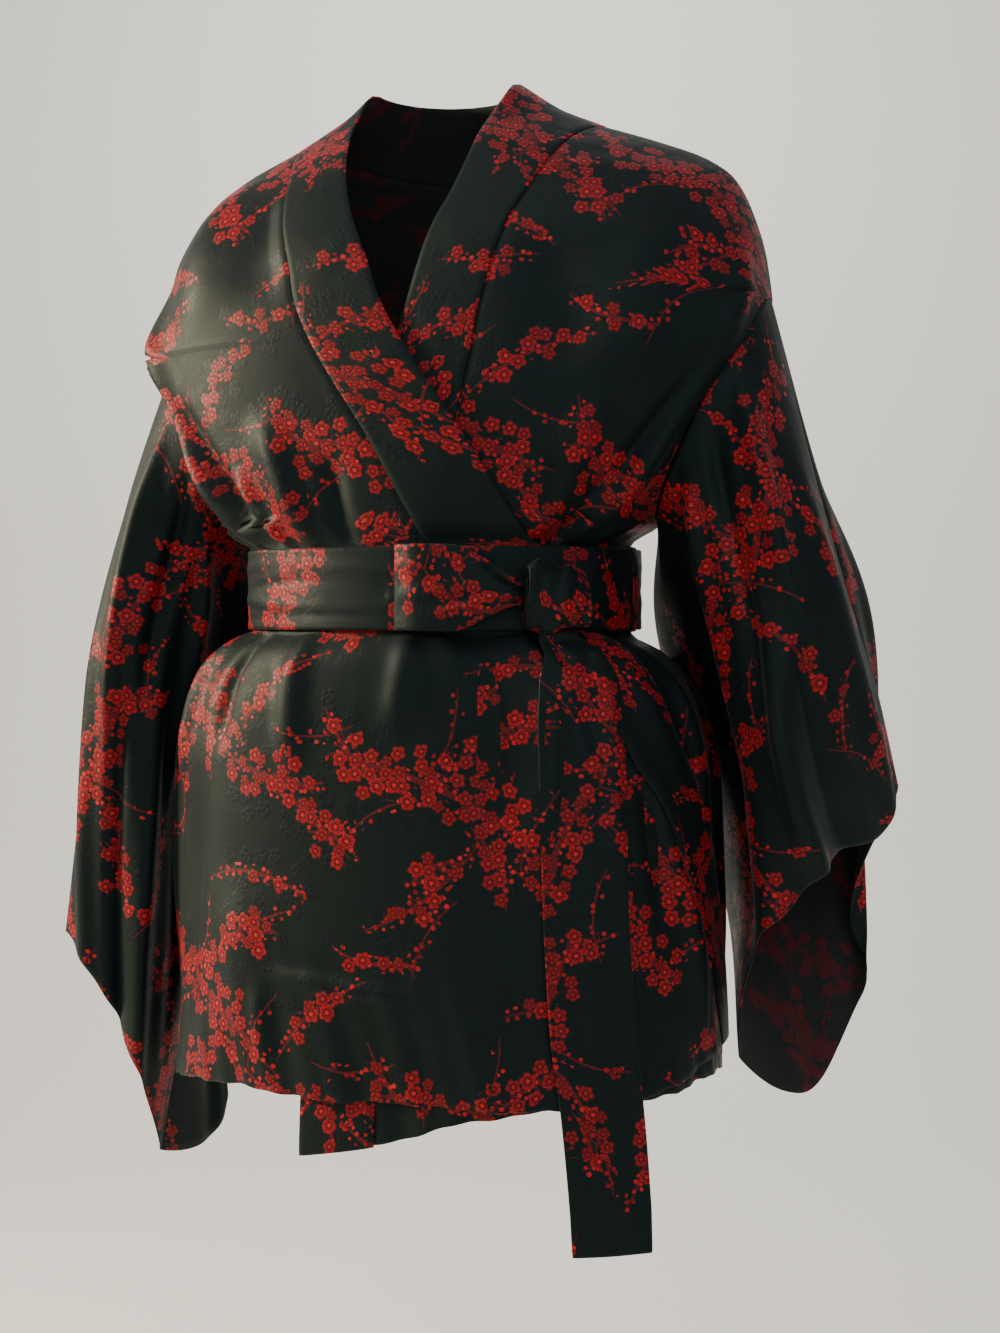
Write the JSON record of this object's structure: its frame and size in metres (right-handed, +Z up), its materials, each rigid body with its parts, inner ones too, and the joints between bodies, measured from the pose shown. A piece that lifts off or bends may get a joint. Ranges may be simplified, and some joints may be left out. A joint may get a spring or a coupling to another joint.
{
  "type": "kimono wrap top, worn form",
  "caption": "Short kimono-style wrap top of blossom-patterned satin, worn form: lapped fronts, neckband, wide sleeves and a tied belt.",
  "frame": {"origin": "base of the wearer's neck, level with the neck ends of the shoulder seams, where the wearer's shoulders hold the garment up", "axes": "+Z up, the front faces -Y, the wearer's left is +X"},
  "size_m": [0.6761, 0.275, 0.8763],
  "materials": {
    "outer_cloth": "near-black satin jacquard with red plum blossom boughs",
    "band_cloth": "the same satin jacquard, cut for the neckband",
    "belt_cloth": "the same satin jacquard, folded for the belt"
  },
  "bodies": {
    "root": {"back": "outer_cloth", "front_right": "outer_cloth", "front_left": "outer_cloth", "neckband_right": "band_cloth", "neckband_left": "band_cloth", "sleeve_right": "outer_cloth", "sleeve_left": "outer_cloth", "belt": "belt_cloth", "bow_loop": "belt_cloth", "belt_knot": "belt_cloth", "belt_tail": "belt_cloth", "belt_carrier": "belt_cloth"}
  },
  "joints": []
}
